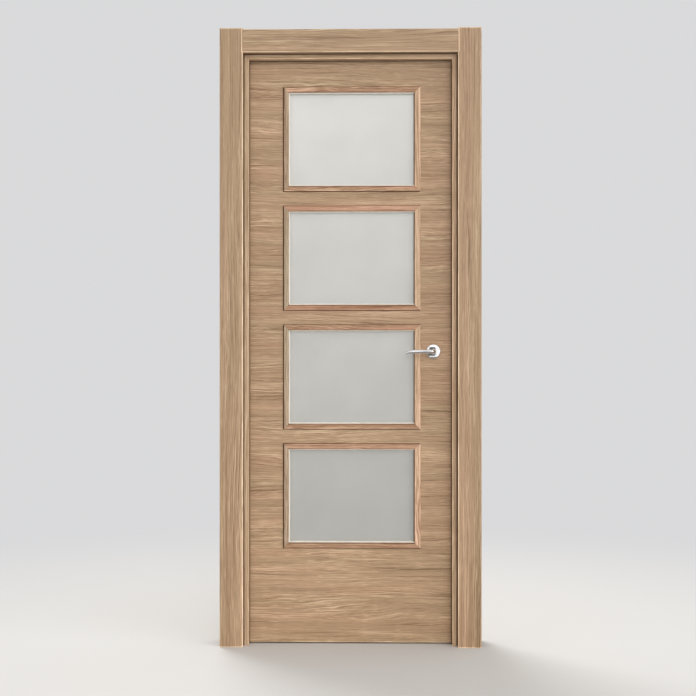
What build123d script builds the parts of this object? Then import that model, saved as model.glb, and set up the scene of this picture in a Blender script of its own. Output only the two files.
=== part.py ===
from build123d import *
import os

# Glazed interior door set: a flush leaf with four frosted lights, hung in a lined and cased doorway.
# Millimetres. The origin is on the hinge jamb's wall face, at floor level and half way through the wall.
# X runs from the hinge jamb to the strike jamb, Y through the wall from the push side, Z up.

# Leaf
leaf_width = 725.0
leaf_height = 2030.0
leaf_thickness = 35.0
skin_thickness = 4.0
hinge_stile_width = 139.0
lock_stile_width = 131.0
side_gap = 6.3
head_gap = 5.0
floor_gap = 5.0

# Lining and stops
lining_thickness = 25.0
lining_depth = 70.0
stop_thickness = 18.0
stop_depth = 30.0
stop_arris = 2.5
stop_quirk_width = 3.0
stop_quirk_depth = 8.0
mitre_gap = 0.2

# Weather strip between the stop and the leaf
seal_width = 10.0
seal_base = 1.6
seal_bulb_radius = 3.0
seal_play = 0.4

# Casings, on both faces of the wall
wall_thickness = 90.0
casing_width = 80.0
casing_thickness = 16.0
casing_arris = 4.0
casing_relief_width = 40.0
casing_relief_depth = 2.0
side_casing_rise = 3.5
front_reveal = 0.0
rear_reveal = 9.0
casing_joint = 0.2
tongue_thickness = 6.0
tongue_setback = 5.0
tongue_engagement = 12.0
groove_play = 0.2

# Lights, numbered from the top
light_count = 4
sight_height = 324.0
light_pitch = 412.5
top_margin = 102.5
bead_lap = 11.0
bead_body = 9.0
bead_proud = 5.0
bead_inner_arris = 2.0
bead_outer_arris = 4.0
bead_play = 0.3
glass_thickness = 6.0
glass_edge_play = 1.5

# Lift-off hinges
hinge_names = ("upper", "middle", "lower")
hinge_height = 100.0
hinge_top_margin = 180.0
hinge_bottom_margin = 230.0
hinge_plate = 2.5
hinge_plate_margin = 10.0
hinge_axis_offset = 7.0
knuckle_radius = 6.5
knuckle_gap = 0.3
knuckle_cap = 4.0
knuckle_arris = 1.5
pin_radius = 3.5
pin_play = 0.05
pin_end_play = 0.5
recess_play = 0.2
hinge_screw_count = 4
hinge_screw_margin = 14.0
hinge_screw_stagger = 5.0

# Countersunk holes for the screws of hinges, faceplate and strike plate
screw_hole_radius = 2.2
screw_head_radius = 4.0

# Lever handles
handle_backset = 75.5
handle_height = 1014.0
rose_radius = 25.0
rose_thickness = 9.0
rose_rim = 3.0
rose_crown = 1.5
rose_land = 3.0
neck_radius = 9.7
neck_play = 0.3
lever_radius = 7.0
lever_stand = 50.0
lever_bend = 15.0
lever_length = 98.0
lever_nose_fall = 11.0
lever_nose_power = 6
lever_sag = 1.5
lever_tip_depth = 9.0
lever_tip_return = 6.0
lever_tip_arris = 1.6
lever_stations = (0.45, 0.75, 0.9, 1.0)
grub_radius = 2.0
grub_stand = 17.0
spindle_side = 8.0
spindle_play = 0.1
spindle_engagement = 24.0
spindle_hole_radius = 11.5

# Latch and strike
faceplate_width = 22.0
faceplate_height = 160.0
faceplate_thickness = 2.5
case_thickness = 14.0
case_height = 90.0
case_beyond_spindle = 16.0
bolt_width = 10.0
bolt_height = 22.0
bolt_drop = 32.0
bolt_play = 0.3
strike_width = 22.0
strike_height = 100.0
strike_thickness = 2.0
strike_lip_height = 36.0
strike_pocket_play = 2.0
strike_pocket_depth = 12.0

# Places that follow from the sizes above
leaf_x0 = lining_thickness + side_gap
leaf_x1 = leaf_x0 + leaf_width
leaf_z0 = floor_gap
leaf_z1 = leaf_z0 + leaf_height
leaf_rear = lining_depth / 2
leaf_front = leaf_rear - leaf_thickness
leaf_middle = (leaf_front + leaf_rear) / 2
opening_centre = (leaf_x0 + leaf_x1) / 2
frame_width = 2 * opening_centre
head_face = leaf_z1 + head_gap
lining_top = head_face + lining_thickness
stop_rear = -lining_depth / 2 + stop_depth
light_x0 = leaf_x0 + hinge_stile_width
light_x1 = leaf_x1 - lock_stile_width
light_centre = (light_x0 + light_x1) / 2
cut_width = light_x1 - light_x0
sight_width = cut_width - 2 * bead_body
cut_height = sight_height + 2 * bead_body
glass_front = leaf_middle - glass_thickness / 2
hinge_axis_x = lining_thickness + side_gap / 2
hinge_axis_y = leaf_rear + hinge_axis_offset
handle_x = leaf_x1 - handle_backset
latch_z = handle_height - bolt_drop

upright = Plane.XY
across = Plane(origin=(0, 0, lining_top), x_dir=(0, 0, -1), z_dir=(1, 0, 0))
centre_plane = Plane.YZ.offset(opening_centre)
mid_leaf_plane = Plane.XZ.offset(-leaf_middle)

os.makedirs("parts", exist_ok=True)


def save(name, shape):
    """Write one named piece of the door set."""
    export_step(shape, f"parts/{name}.step")


def block(x, y, z):
    """A plain block between two coordinates on each axis."""
    middle = [(low + high) / 2 for low, high in (x, y, z)]
    return Pos(*middle) * Box(x[1] - x[0], y[1] - y[0], z[1] - z[0])


def strip(u, v):
    """A rectangle in a section through the frame: u towards the opening, v through the wall."""
    return Pos((u[0] + u[1]) / 2, (v[0] + v[1]) / 2) * Rectangle(u[1] - u[0], v[1] - v[0])


def light_z(number):
    """Height of the middle of a light, counted from the top."""
    first = leaf_z1 - top_margin - bead_lap - cut_height / 2
    return first - number * light_pitch


def tongue_u(reveal):
    """Where a casing's tongue lies across the lining's edge."""
    outer = lining_thickness - reveal - tongue_setback - tongue_thickness
    return outer, outer + tongue_thickness


def lining_section():
    """Lining with a groove in each edge for the casings' tongues."""
    section = strip((0, lining_thickness), (-lining_depth / 2, lining_depth / 2))
    groove_depth = tongue_engagement + groove_play
    for reveal, side in ((front_reveal, -1), (rear_reveal, 1)):
        low, high = tongue_u(reveal)
        mouth = sorted((side * lining_depth / 2, side * (lining_depth / 2 - groove_depth)))
        section -= strip((low - groove_play, high + groove_play), mouth)
    return section


def stop_section():
    """Stop with its leading arris rounded, and a quirk in its front beside the casing."""
    inner = lining_thickness + stop_thickness
    front = -lining_depth / 2
    section = strip((lining_thickness, inner), (front, stop_rear))
    corner = section.vertices().sort_by(Axis.X)[-2:].sort_by(Axis.Y)[0]
    section = fillet(corner, stop_arris)
    quirk = (lining_thickness, lining_thickness + stop_quirk_width)
    return section - strip(quirk, (front, front + stop_quirk_depth))


def seal_section():
    """Weather strip: a flat base on the stop's back and a half-round bulb towards the leaf."""
    middle = lining_thickness + side_gap + (stop_thickness - side_gap) / 2
    base = strip((middle - seal_width / 2, middle + seal_width / 2), (stop_rear, stop_rear + seal_base))
    bulb_centre = leaf_front - seal_play - seal_bulb_radius
    bulb = Pos(middle, bulb_centre) * Circle(seal_bulb_radius)
    bulb &= strip((0, frame_width), (stop_rear, leaf_front))
    return base + bulb


def casing_sections(reveal, side):
    """A casing's board, hollowed at the back, and its tongue. The front face has side -1, the rear face 1."""
    inner = lining_thickness - reveal
    outer = inner - casing_width
    back = side * wall_thickness / 2
    face = back + side * casing_thickness
    board = strip((outer, inner), sorted((back, face)))
    arrises = board.vertices().sort_by(Axis.Y)
    board = fillet(arrises[:2] if side < 0 else arrises[-2:], casing_arris)
    hollow_centre = outer + (casing_width - tongue_setback - tongue_thickness) / 2
    hollow = (hollow_centre - casing_relief_width / 2, hollow_centre + casing_relief_width / 2)
    board -= strip(hollow, sorted((back, back + side * casing_relief_depth)))
    tip = side * (lining_depth / 2 - tongue_engagement)
    tongue = strip(tongue_u(reveal), sorted((back, tip)))
    return board, tongue


def screw_hole(face_x, y, z, thickness, direction):
    """Countersunk hole through a plate, from its open face along +X (1) or -X (-1)."""
    outwards = (Align.CENTER, Align.CENTER, Align.MIN)
    sink_depth = screw_head_radius - screw_hole_radius
    sink = Cone(screw_head_radius, screw_hole_radius, sink_depth, align=outwards)
    hole = Cylinder(screw_hole_radius, thickness, align=outwards)
    return Pos(face_x, y, z) * Rot(0, 90 * direction, 0) * (sink + hole)


def run(section, plane, start, length):
    """A moulding: a section drawn on a plane and run along that plane's normal."""
    return extrude(plane.offset(start) * section, amount=length)


def make_lining():
    """Hinge jamb, strike jamb and head jamb, cut for the hinges and the strike plate."""
    jamb = run(lining_section(), upright, 0, lining_top)
    head = run(lining_section(), across, lining_thickness, frame_width - 2 * lining_thickness)
    hinge_jamb = jamb
    for z in hinge_heights():
        hinge_jamb -= hinge_recess(z, (lining_thickness - hinge_plate, lining_thickness))
    strike_face = frame_width - lining_thickness
    strike_jamb = mirror(jamb, about=centre_plane)
    strike_jamb -= strike_outline(strike_thickness, recess_play)
    pocket = bolt_opening(strike_pocket_play)
    pocket_x = (strike_face, strike_face + strike_pocket_depth)
    strike_jamb -= block(pocket_x, pocket[0], pocket[1])
    save("hinge_jamb", hinge_jamb)
    save("strike_jamb", strike_jamb)
    save("head_jamb", head)


def make_stops():
    """Planted stops, mitred at the head."""
    corner = Plane(origin=(lining_thickness, 0, head_face), z_dir=(1, 0, 1))
    side = run(stop_section(), upright, 0, head_face)
    side = split(side, bisect_by=corner.offset(-mitre_gap / 2), keep=Keep.BOTTOM)
    far_corner = Plane(origin=(frame_width - lining_thickness, 0, head_face), z_dir=(-1, 0, 1))
    head = run(stop_section(), across, lining_thickness, frame_width - 2 * lining_thickness)
    for mitre in (corner, far_corner):
        head = split(head, bisect_by=mitre.offset(mitre_gap / 2), keep=Keep.TOP)
    save("hinge_stop", side)
    save("strike_stop", mirror(side, about=centre_plane))
    save("head_stop", head)


def make_seal():
    """Three lengths of weather strip, the head length between the side ones."""
    section = seal_section()
    box = section.bounding_box()
    top = lining_top - box.min.X
    side = run(section, upright, 0, top)
    inner = box.max.X + casing_joint
    head = run(section, across, inner, frame_width - 2 * inner)
    save("door_seal", Compound([side, mirror(side, about=centre_plane), head]))


def make_casings():
    """Casings on both faces of the wall: full-height sides with the head between them."""
    for face, reveal, side in (("front", front_reveal, -1), ("rear", rear_reveal, 1)):
        board, tongue = casing_sections(reveal, side)
        top = head_face + reveal + casing_width + side_casing_rise
        upright_casing = run(board, upright, 0, top) + run(tongue, upright, 0, lining_top)
        end = lining_thickness - reveal + casing_joint
        length = frame_width - 2 * end
        tongue_end = lining_thickness + casing_joint
        head = run(board, across, end, length)
        head += run(tongue, across, tongue_end, frame_width - 2 * tongue_end)
        save(f"{face}_casing_left", upright_casing)
        save(f"{face}_casing_right", mirror(upright_casing, about=centre_plane))
        save(f"{face}_casing_head", head)


def hinge_heights():
    """Heights of the three hinges' middles, the middle one half way between the others."""
    top = leaf_z1 - hinge_top_margin - hinge_height / 2
    bottom = leaf_z0 + hinge_bottom_margin + hinge_height / 2
    return top, (top + bottom) / 2, bottom


def hinge_recess(z, x):
    """Housing for one hinge plate, open towards the knuckle."""
    half = hinge_height / 2 + recess_play
    depth = (leaf_front + hinge_plate_margin - recess_play, leaf_rear)
    return block(x, depth, (z - half, z + half))


def knuckle(z, direction):
    """Half of a hinge's barrel, from its middle up (1) or down (-1), with its far end rounded."""
    length = (hinge_height - knuckle_gap) / 2
    place = Pos(hinge_axis_x, hinge_axis_y, z + direction * (knuckle_gap + length) / 2)
    barrel = place * Cylinder(knuckle_radius, length)
    ends = barrel.edges().filter_by(GeomType.CIRCLE).sort_by(Axis.Z)
    return fillet(ends[-1] if direction > 0 else ends[0], knuckle_arris)


def hinge_screws(z):
    """Places of one hinge plate's screws, staggered either side of its middle line."""
    spacing = (hinge_height - 2 * hinge_screw_margin) / (hinge_screw_count - 1)
    middle = (leaf_front + hinge_plate_margin + leaf_rear) / 2
    lowest = z - hinge_height / 2 + hinge_screw_margin
    places = []
    for number in range(hinge_screw_count):
        shift = hinge_screw_stagger if number % 2 else -hinge_screw_stagger
        places.append((middle + shift, lowest + number * spacing))
    return places


def hinge_half(z, x, direction):
    """One hinge half: a plate let into the wood, and the knuckle that it carries, up (1) or down (-1)."""
    half = hinge_height / 2
    plate_front = leaf_front + hinge_plate_margin
    plate = block(x, (plate_front, leaf_rear), (z - half, z + half))
    near = sorted((z + direction * knuckle_gap / 2, z + direction * (half - knuckle_arris)))
    web = block(x, (leaf_rear, hinge_axis_y - pin_radius), near)
    half_hinge = plate + web + knuckle(z, direction)
    open_face = x[0] if direction > 0 else x[1]
    for y, screw_z in hinge_screws(z):
        half_hinge -= screw_hole(open_face, y, screw_z, hinge_plate, direction)
    return half_hinge


def make_hinges():
    """Lift-off hinges: the pin stands in the frame half, and the leaf half drops over it."""
    leaf_plate = (leaf_x0, leaf_x0 + hinge_plate)
    frame_plate = (lining_thickness - hinge_plate, lining_thickness)
    bore_depth = (hinge_height - knuckle_gap) / 2 - knuckle_cap
    pin_top = bore_depth - pin_end_play + knuckle_gap / 2
    pin_foot = hinge_height / 4
    for name, z in zip(hinge_names, hinge_heights()):
        pin_length = pin_foot + pin_top
        pin = Pos(hinge_axis_x, hinge_axis_y, z - pin_foot + pin_length / 2) * Cylinder(pin_radius, pin_length)
        bore = Pos(hinge_axis_x, hinge_axis_y, z + bore_depth / 2) * Cylinder(
            pin_radius + pin_play, bore_depth + knuckle_gap
        )
        save(f"{name}_hinge_frame_half", hinge_half(z, frame_plate, -1) + pin)
        save(f"{name}_hinge_leaf_half", hinge_half(z, leaf_plate, 1) - bore)


def spindle_hole():
    """Round hole through the leaf for the spindle."""
    hole = Cylinder(spindle_hole_radius, leaf_thickness + 2 * bead_proud)
    return Pos(handle_x, leaf_middle, handle_height) * Rot(90, 0, 0) * hole


def make_core():
    """Solid core of the leaf: two stiles, with rails between them round the lights."""
    depth = (leaf_front + skin_thickness, leaf_rear - skin_thickness)
    height = (leaf_z0, leaf_z1)
    hinge_stile = block((leaf_x0, light_x0), depth, height)
    for z in hinge_heights():
        hinge_stile -= hinge_recess(z, (leaf_x0, leaf_x0 + hinge_plate))
    lock_stile = block((light_x1, leaf_x1), depth, height)
    lock_stile -= faceplate_outline(recess_play) + latch_case(recess_play) + spindle_hole()
    save("hinge_stile", hinge_stile)
    save("lock_stile", lock_stile)
    span = (light_x0, light_x1)
    edges = [leaf_z1]
    for number in range(light_count):
        edges += [light_z(number) + cut_height / 2, light_z(number) - cut_height / 2]
    edges.append(leaf_z0)
    names = ["top_rail", "upper_cross_rail", "middle_cross_rail", "lower_cross_rail", "bottom_rail"]
    for name, top, bottom in zip(names, edges[0::2], edges[1::2]):
        save(name, block(span, depth, (bottom, top)))


def make_skins():
    """Thin veneered faces of the leaf, pierced for the lights, the spindle and the hinge plates."""
    sheet = Rectangle(leaf_width, leaf_height)
    for number in range(light_count):
        place = Pos(light_centre - opening_centre, light_z(number) - (leaf_z0 + leaf_z1) / 2)
        sheet -= place * Rectangle(cut_width, cut_height)
    face = Plane(origin=(opening_centre, leaf_front, (leaf_z0 + leaf_z1) / 2), x_dir=(1, 0, 0), z_dir=(0, -1, 0))
    front = extrude(face * sheet, amount=-skin_thickness) - spindle_hole()
    rear = mirror(front, about=mid_leaf_plane)
    for z in hinge_heights():
        rear -= hinge_recess(z, (leaf_x0, leaf_x0 + hinge_plate))
    save("front_skin", front)
    save("rear_skin", rear)


def bead_section():
    """Lipped glazing bead: u outwards from the sight line, v from the leaf's face towards the room."""
    seat = -(glass_front - leaf_front - bead_play)
    width = bead_body + bead_lap
    body = strip((0, bead_body - bead_play), (seat, bead_proud))
    lip = strip((0, width), (0, bead_proud))
    section = body + lip
    front_corners = section.vertices().filter_by_position(Axis.Y, bead_proud, bead_proud).sort_by(Axis.X)
    section = fillet(front_corners[-1], bead_outer_arris)
    inner = section.vertices().filter_by_position(Axis.Y, bead_proud, bead_proud).sort_by(Axis.X)[0]
    return fillet(inner, bead_inner_arris)


def bead_bar(length):
    """One bead with mitred ends, along X with its sight edge at zero and its face towards -Y."""
    reach = length / 2 + bead_body + bead_lap
    ground = Plane(origin=(-reach, 0, 0), x_dir=(0, 0, 1), z_dir=(1, 0, 0))
    bar = extrude(ground * bead_section(), amount=2 * reach)
    for end in (-1, 1):
        mitre = Plane(origin=(end * length / 2, 0, 0), z_dir=(end, 0, -1))
        bar = split(bar, bisect_by=mitre.offset(-mitre_gap / 2), keep=Keep.BOTTOM)
    return bar


def make_lights():
    """Frosted panes, each held between a front and a rear frame of mitred beads."""
    level = bead_bar(sight_width)
    tall = bead_bar(sight_height)
    bars = []
    for turn, bar, reach in ((0, level, sight_height), (90, tall, sight_width)):
        for half_turn in (0, 180):
            bars.append(Rot(0, turn + half_turn, 0) * Pos(0, 0, reach / 2) * bar)
    pane = Box(cut_width - 2 * glass_edge_play, glass_thickness, cut_height - 2 * glass_edge_play)
    for number in range(light_count):
        z = light_z(number)
        front = Compound([Pos(light_centre, leaf_front, z) * bar for bar in bars])
        save(f"front_bead_frame_{number + 1}", front)
        save(f"rear_bead_frame_{number + 1}", mirror(front, about=mid_leaf_plane))
        save(f"glass_{number + 1}", Pos(light_centre, leaf_middle, z) * pane)


def rose():
    """Round rose with a crowned face, drawn as half a section and turned about the spindle."""
    half = Rectangle(rose_radius, rose_thickness, align=(Align.MIN, Align.MIN))
    crown_radius = (rose_radius**2 + rose_crown**2) / (2 * rose_crown)
    half &= Pos(0, rose_thickness - crown_radius) * Circle(crown_radius)
    rim = half.vertices().sort_by(Axis.X)[-2:].sort_by(Axis.Y)[-1]
    half = fillet(rim, rose_rim)
    half -= Rectangle(neck_radius + neck_play, rose_thickness, align=(Align.MIN, Align.MIN))
    turned = revolve(Plane.XZ * half, axis=Axis.Z)
    return Pos(handle_x, leaf_front, handle_height) * Rot(90, 0, 0) * turned


def lever():
    """Lever: a turned neck with a grub-screw hole under it, a quarter bend and a grip that falls away to its tip."""
    bend_start = lever_stand - lever_bend
    neck = Cylinder(neck_radius, rose_thickness - rose_land, align=(Align.CENTER, Align.CENTER, Align.MIN))
    neck = Pos(0, 0, rose_land) * neck
    stem = Cylinder(lever_radius, bend_start - rose_land, align=(Align.CENTER, Align.CENTER, Align.MIN))
    stem = Pos(0, 0, rose_land) * stem
    bend_axis = Axis((-lever_bend, 0, bend_start), (0, -1, 0))
    start = Pos(0, 0, bend_start) * Circle(lever_radius)
    bend = revolve(start, axis=bend_axis, revolution_arc=90)
    grip_root = Plane(origin=(-lever_bend, 0, lever_stand), x_dir=(0, 1, 0), z_dir=(-1, 0, 0))
    sections = [grip_root * Circle(lever_radius)]
    run_length = lever_length - lever_bend
    for share in lever_stations:
        top = lever_radius - lever_nose_fall * share**lever_nose_power
        bottom = -lever_radius - lever_sag * share**2
        deep = lever_radius + (lever_tip_depth / 2 - lever_radius) * share
        back = lever_tip_return * share**2
        place = grip_root.offset(run_length * share)
        sections.append(place * Pos((top + bottom) / 2, back) * Ellipse((top - bottom) / 2, deep))
    grip = loft(sections)
    tip = grip.faces().sort_by(Axis.X)[0].edges()
    grip = fillet(tip, lever_tip_arris)
    socket = Box(spindle_side + 2 * spindle_play, spindle_side + 2 * spindle_play, spindle_engagement)
    socket = Pos(0, 0, spindle_engagement / 2) * socket
    grub = Pos(0, -lever_radius / 2, grub_stand) * Rot(90, 0, 0) * Cylinder(grub_radius, lever_radius)
    whole = neck + stem + bend + grip - socket - grub
    return Pos(handle_x, leaf_front, handle_height) * Rot(90, 0, 0) * whole


def make_handles():
    """Rose and lever on each face, joined through the leaf by a square spindle."""
    for name, piece in (("rose", rose()), ("lever", lever())):
        save(f"front_{name}", piece)
        save(f"rear_{name}", mirror(piece, about=mid_leaf_plane))
    length = leaf_thickness + 2 * (spindle_engagement - bead_play)
    save("spindle", Pos(handle_x, leaf_middle, handle_height) * Box(spindle_side, length, spindle_side))


def round_ended(width, height, thickness):
    """Flat plate with round ends, standing on the YZ plane and as thick as given along +X."""
    return extrude(Plane.YZ * Rot(0, 0, 90) * SlotOverall(height, width), amount=thickness)


def end_screws(width, height):
    """Heights of a round-ended plate's two screws, at the middles of its round ends."""
    reach = (height - width) / 2
    return latch_z - reach, latch_z + reach


def faceplate_outline(play):
    """Latch faceplate, or its housing where there is play, flush with the leaf's edge."""
    plate = round_ended(faceplate_width + 2 * play, faceplate_height + 2 * play, faceplate_thickness)
    return Pos(leaf_x1 - faceplate_thickness, leaf_middle, latch_z) * plate


def latch_case(play):
    """Latch case behind the faceplate, or its mortise where there is play."""
    depth = handle_backset + case_beyond_spindle + play
    half = (case_height / 2 + play, case_thickness / 2 + play)
    x = (leaf_x1 - depth, leaf_x1 - faceplate_thickness)
    y = (leaf_middle - half[1], leaf_middle + half[1])
    middle = (handle_height + latch_z) / 2
    return block(x, y, (middle - half[0], middle + half[0]))


def bolt_opening(play):
    """Span of the latch bolt through the wall and up the edge, with play all round."""
    wide = bolt_width / 2 + play
    tall = bolt_height / 2 + play
    return (leaf_middle - wide, leaf_middle + wide), (latch_z - tall, latch_z + tall)


def make_latch():
    """Latch with its spring bolt drawn back flush with the faceplate."""
    depth = handle_backset / 2
    hole = bolt_opening(bolt_play)
    body = faceplate_outline(0) + latch_case(0)
    body -= block((leaf_x1 - depth - bolt_play, leaf_x1), hole[0], hole[1])
    body -= spindle_hole()
    for z in end_screws(faceplate_width, faceplate_height):
        body -= screw_hole(leaf_x1, leaf_middle, z, faceplate_thickness, -1)
    nose = bolt_opening(0)
    bolt = block((leaf_x1 - depth, leaf_x1), nose[0], nose[1])
    save("latch", Compound([body, bolt]))


def strike_outline(thickness, play):
    """Strike plate, or its housing where there is play, with a lip that leads the bolt in from the edge."""
    face = frame_width - lining_thickness
    plate = round_ended(strike_width + 2 * play, strike_height + 2 * play, thickness)
    lip_half = strike_lip_height / 2 + play
    lip_y = (leaf_middle, lining_depth / 2 + play)
    lip = block((face, face + thickness), lip_y, (latch_z - lip_half, latch_z + lip_half))
    return Pos(face, leaf_middle, latch_z) * plate + lip


def make_strike():
    """Strike plate with its opening for the latch bolt."""
    face = frame_width - lining_thickness
    plate = strike_outline(strike_thickness, 0)
    hole = bolt_opening(strike_pocket_play)
    plate -= block((face, face + strike_thickness), hole[0], hole[1])
    for z in end_screws(strike_width, strike_height):
        plate -= screw_hole(face, leaf_middle, z, strike_thickness, 1)
    save("strike_plate", plate)


make_lining()
make_stops()
make_seal()
make_casings()
make_hinges()
make_core()
make_skins()
make_lights()
make_handles()
make_latch()
make_strike()
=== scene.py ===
"""A glazed oak door set: finishes for its boards, beads, panes and fittings, its screws and a plain studio.

Metres, in the model's own frame: X from the hinge jamb to the strike jamb, Y away from the viewer, Z up.
"""

import logging
import math
from contextlib import contextmanager
from dataclasses import dataclass, replace
from enum import Enum
from typing import Any, Callable, Dict, Iterator, List, Optional, Sequence, Tuple, Union

import bmesh
import bpy
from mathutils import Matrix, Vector


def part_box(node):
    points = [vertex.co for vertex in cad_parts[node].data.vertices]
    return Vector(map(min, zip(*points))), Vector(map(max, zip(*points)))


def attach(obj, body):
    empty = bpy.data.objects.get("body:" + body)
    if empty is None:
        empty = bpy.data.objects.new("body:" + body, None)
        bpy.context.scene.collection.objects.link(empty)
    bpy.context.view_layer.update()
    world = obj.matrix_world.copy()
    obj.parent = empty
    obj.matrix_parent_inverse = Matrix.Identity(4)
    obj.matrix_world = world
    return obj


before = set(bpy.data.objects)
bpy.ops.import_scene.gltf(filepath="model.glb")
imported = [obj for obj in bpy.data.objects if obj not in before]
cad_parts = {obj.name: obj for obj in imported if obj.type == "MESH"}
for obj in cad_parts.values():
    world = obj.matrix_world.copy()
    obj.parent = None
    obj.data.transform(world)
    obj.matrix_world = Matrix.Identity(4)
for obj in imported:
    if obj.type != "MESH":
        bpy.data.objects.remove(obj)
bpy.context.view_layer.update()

log = logging.getLogger("door_set")

Colour = Tuple[float, float, float]
Place = Tuple[float, float, float]
Range = Tuple[float, float]
Operand = Union["Signal", float, Sequence[float]]

FRAME_BODY = "frame"
LEAF_BODY = "leaf"
HANDLE_BODY = "handle"
LIGHT_COUNT = 4
FACES = ("front", "rear")
HINGES = ("upper", "middle", "lower")
SMOOTH_ANGLE = math.radians(35)
FACING = 0.9

MIX_FACTOR = 0
MIX_A = 6
MIX_B = 7
MIX_RESULT = 2


def opaque(colour: Colour, share: float = 1.0) -> Tuple[float, float, float, float]:
    """A colour as a socket takes it, made darker or lighter by a share."""
    return (*(channel * share for channel in colour), 1.0)


class Signal:
    """One output of a shader node. Arithmetic on it adds Math nodes to the same recipe."""

    def __init__(self, recipe: "Recipe", socket: bpy.types.NodeSocket) -> None:
        """Remember the socket and the recipe that it belongs to."""
        self.recipe = recipe
        self.socket = socket

    def output(self, name: str) -> "Signal":
        """Another output of the same node."""
        return Signal(self.recipe, self.socket.node.outputs[name])

    def math(self, operation: str, *others: Operand) -> "Signal":
        """Run a Math node on this signal.

        Args:
            operation: The Math node's operation.
            others: Its further operands.

        Returns:
            The node's result.
        """
        operands = dict(enumerate((self, *others)))
        return self.recipe.node("ShaderNodeMath", {"operation": operation}, operands)

    def __add__(self, other: Operand) -> "Signal":
        """Sum of two signals."""
        return self.math("ADD", other)

    __radd__ = __add__

    def __sub__(self, other: Operand) -> "Signal":
        """Difference of two signals."""
        return self.math("SUBTRACT", other)

    def __rsub__(self, other: Operand) -> "Signal":
        """A number less this signal."""
        return self.recipe.node("ShaderNodeMath", {"operation": "SUBTRACT"}, {0: other, 1: self})

    def __mul__(self, other: Operand) -> "Signal":
        """Product of two signals."""
        return self.math("MULTIPLY", other)

    __rmul__ = __mul__

    def __mod__(self, other: Operand) -> "Signal":
        """Remainder, counted from zero upwards."""
        return self.math("FLOORED_MODULO", other)

    def __abs__(self) -> "Signal":
        """Size of the signal without its sign."""
        return self.math("ABSOLUTE")

    def __gt__(self, other: Operand) -> "Signal":
        """One where this signal is the greater, else zero."""
        return self.math("GREATER_THAN", other)

    def ramp(self, low: float, high: float) -> "Signal":
        """Rise smoothly from zero at one value to one at another.

        Args:
            low: The value that gives zero.
            high: The value that gives one.

        Returns:
            The smooth step between them.
        """
        inputs = {"Value": self, "From Min": low, "From Max": high}
        return self.recipe.node("ShaderNodeMapRange", {"interpolation_type": "SMOOTHSTEP"}, inputs)


class Recipe:
    """A node tree, written one node at a time."""

    def __init__(self, tree: bpy.types.NodeTree) -> None:
        """Start from an empty tree."""
        self.tree = tree
        self.tree.nodes.clear()

    def node(
        self,
        kind: str,
        settings: Optional[Dict[str, Any]] = None,
        inputs: Optional[Dict[Union[int, str], Operand]] = None,
        output: Union[int, str] = 0,
    ) -> Signal:
        """Add one node.

        Args:
            kind: The node's type.
            settings: Its own settings, set first. "stops" are a colour ramp's positions and colours.
            inputs: Values or signals for its sockets, by name or number.
            output: The output that is wanted.

        Returns:
            That output as a signal.
        """
        made = self.tree.nodes.new(kind)
        for name, value in (settings or {}).items():
            if name == "stops":
                self._set_stops(made.color_ramp, value)
            else:
                setattr(made, name, value)
        for name, value in (inputs or {}).items():
            if isinstance(value, Signal):
                self.tree.links.new(value.socket, made.inputs[name])
            else:
                made.inputs[name].default_value = value
        return Signal(self, made.outputs[output]) if made.outputs else Signal(self, None)

    @staticmethod
    def _set_stops(ramp: bpy.types.ColorRamp, stops: Sequence[Tuple[float, Colour]]) -> None:
        """Give a colour ramp its stops, from the lowest up."""
        while len(ramp.elements) < len(stops):
            ramp.elements.new(1.0)
        for element, (position, colour) in zip(ramp.elements, stops):
            element.position = position
            element.color = opaque(colour)

    def mix(self, share: Operand, first: Operand, second: Operand) -> Signal:
        """Blend two colours.

        Args:
            share: How much of the second colour there is.
            first: The first colour.
            second: The second colour.

        Returns:
            The blended colour.
        """
        inputs = {MIX_FACTOR: share, MIX_A: first, MIX_B: second}
        return self.node("ShaderNodeMix", {"data_type": "RGBA"}, inputs, MIX_RESULT)

    def multiply(self, share: Operand, colour: Operand, tint: Colour) -> Signal:
        """Tint a colour.

        Args:
            share: How much of the tint shows.
            colour: The colour.
            tint: What each of its channels is multiplied by.

        Returns:
            The tinted colour.
        """
        settings = {"data_type": "RGBA", "blend_type": "MULTIPLY"}
        inputs = {MIX_FACTOR: share, MIX_A: colour, MIX_B: opaque(tint)}
        return self.node("ShaderNodeMix", settings, inputs, MIX_RESULT)

    def noise(self, place: Signal, detail: float, roughness: float = 0.5) -> Signal:
        """Soft noise with one cell to each unit of its place.

        Args:
            place: The vector to read it at.
            detail: How many finer octaves it has.
            roughness: How strong those are.

        Returns:
            The noise, about one half.
        """
        inputs = {"Vector": place, "Scale": 1.0, "Detail": detail, "Roughness": roughness}
        return self.node("ShaderNodeTexNoise", {"noise_dimensions": "3D"}, inputs)

    def speckle(self, scale: Place, detail: float) -> Signal:
        """Noise all over a surface.

        Args:
            scale: Cells to the metre along X, Y and Z.
            detail: How many finer octaves it has.

        Returns:
            The noise, about zero.
        """
        x = self.place()
        place = self.vector(x * scale[0], x.output("Y") * scale[1], x.output("Z") * scale[2])
        return self.noise(place, detail) - 0.5

    def vector(self, x: Operand, y: Operand, z: Operand) -> Signal:
        """Join three signals into a vector."""
        return self.node("ShaderNodeCombineXYZ", inputs={0: x, 1: y, 2: z})

    def place(self) -> Signal:
        """The surface's place in the model's frame, as X with Y and Z beside it."""
        coordinates = self.node("ShaderNodeTexCoord", output="Object")
        return self.node("ShaderNodeSeparateXYZ", inputs={0: coordinates})

    def bump(self, height: Signal, strength: float, distance: float) -> Signal:
        """Turn a height into a normal.

        Args:
            height: The height, in shares of the distance.
            strength: How much of it shows.
            distance: The depth of the relief in metres.

        Returns:
            The bent normal.
        """
        inputs = {"Height": height, "Strength": strength, "Distance": distance}
        return self.node("ShaderNodeBump", inputs=inputs)


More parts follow.
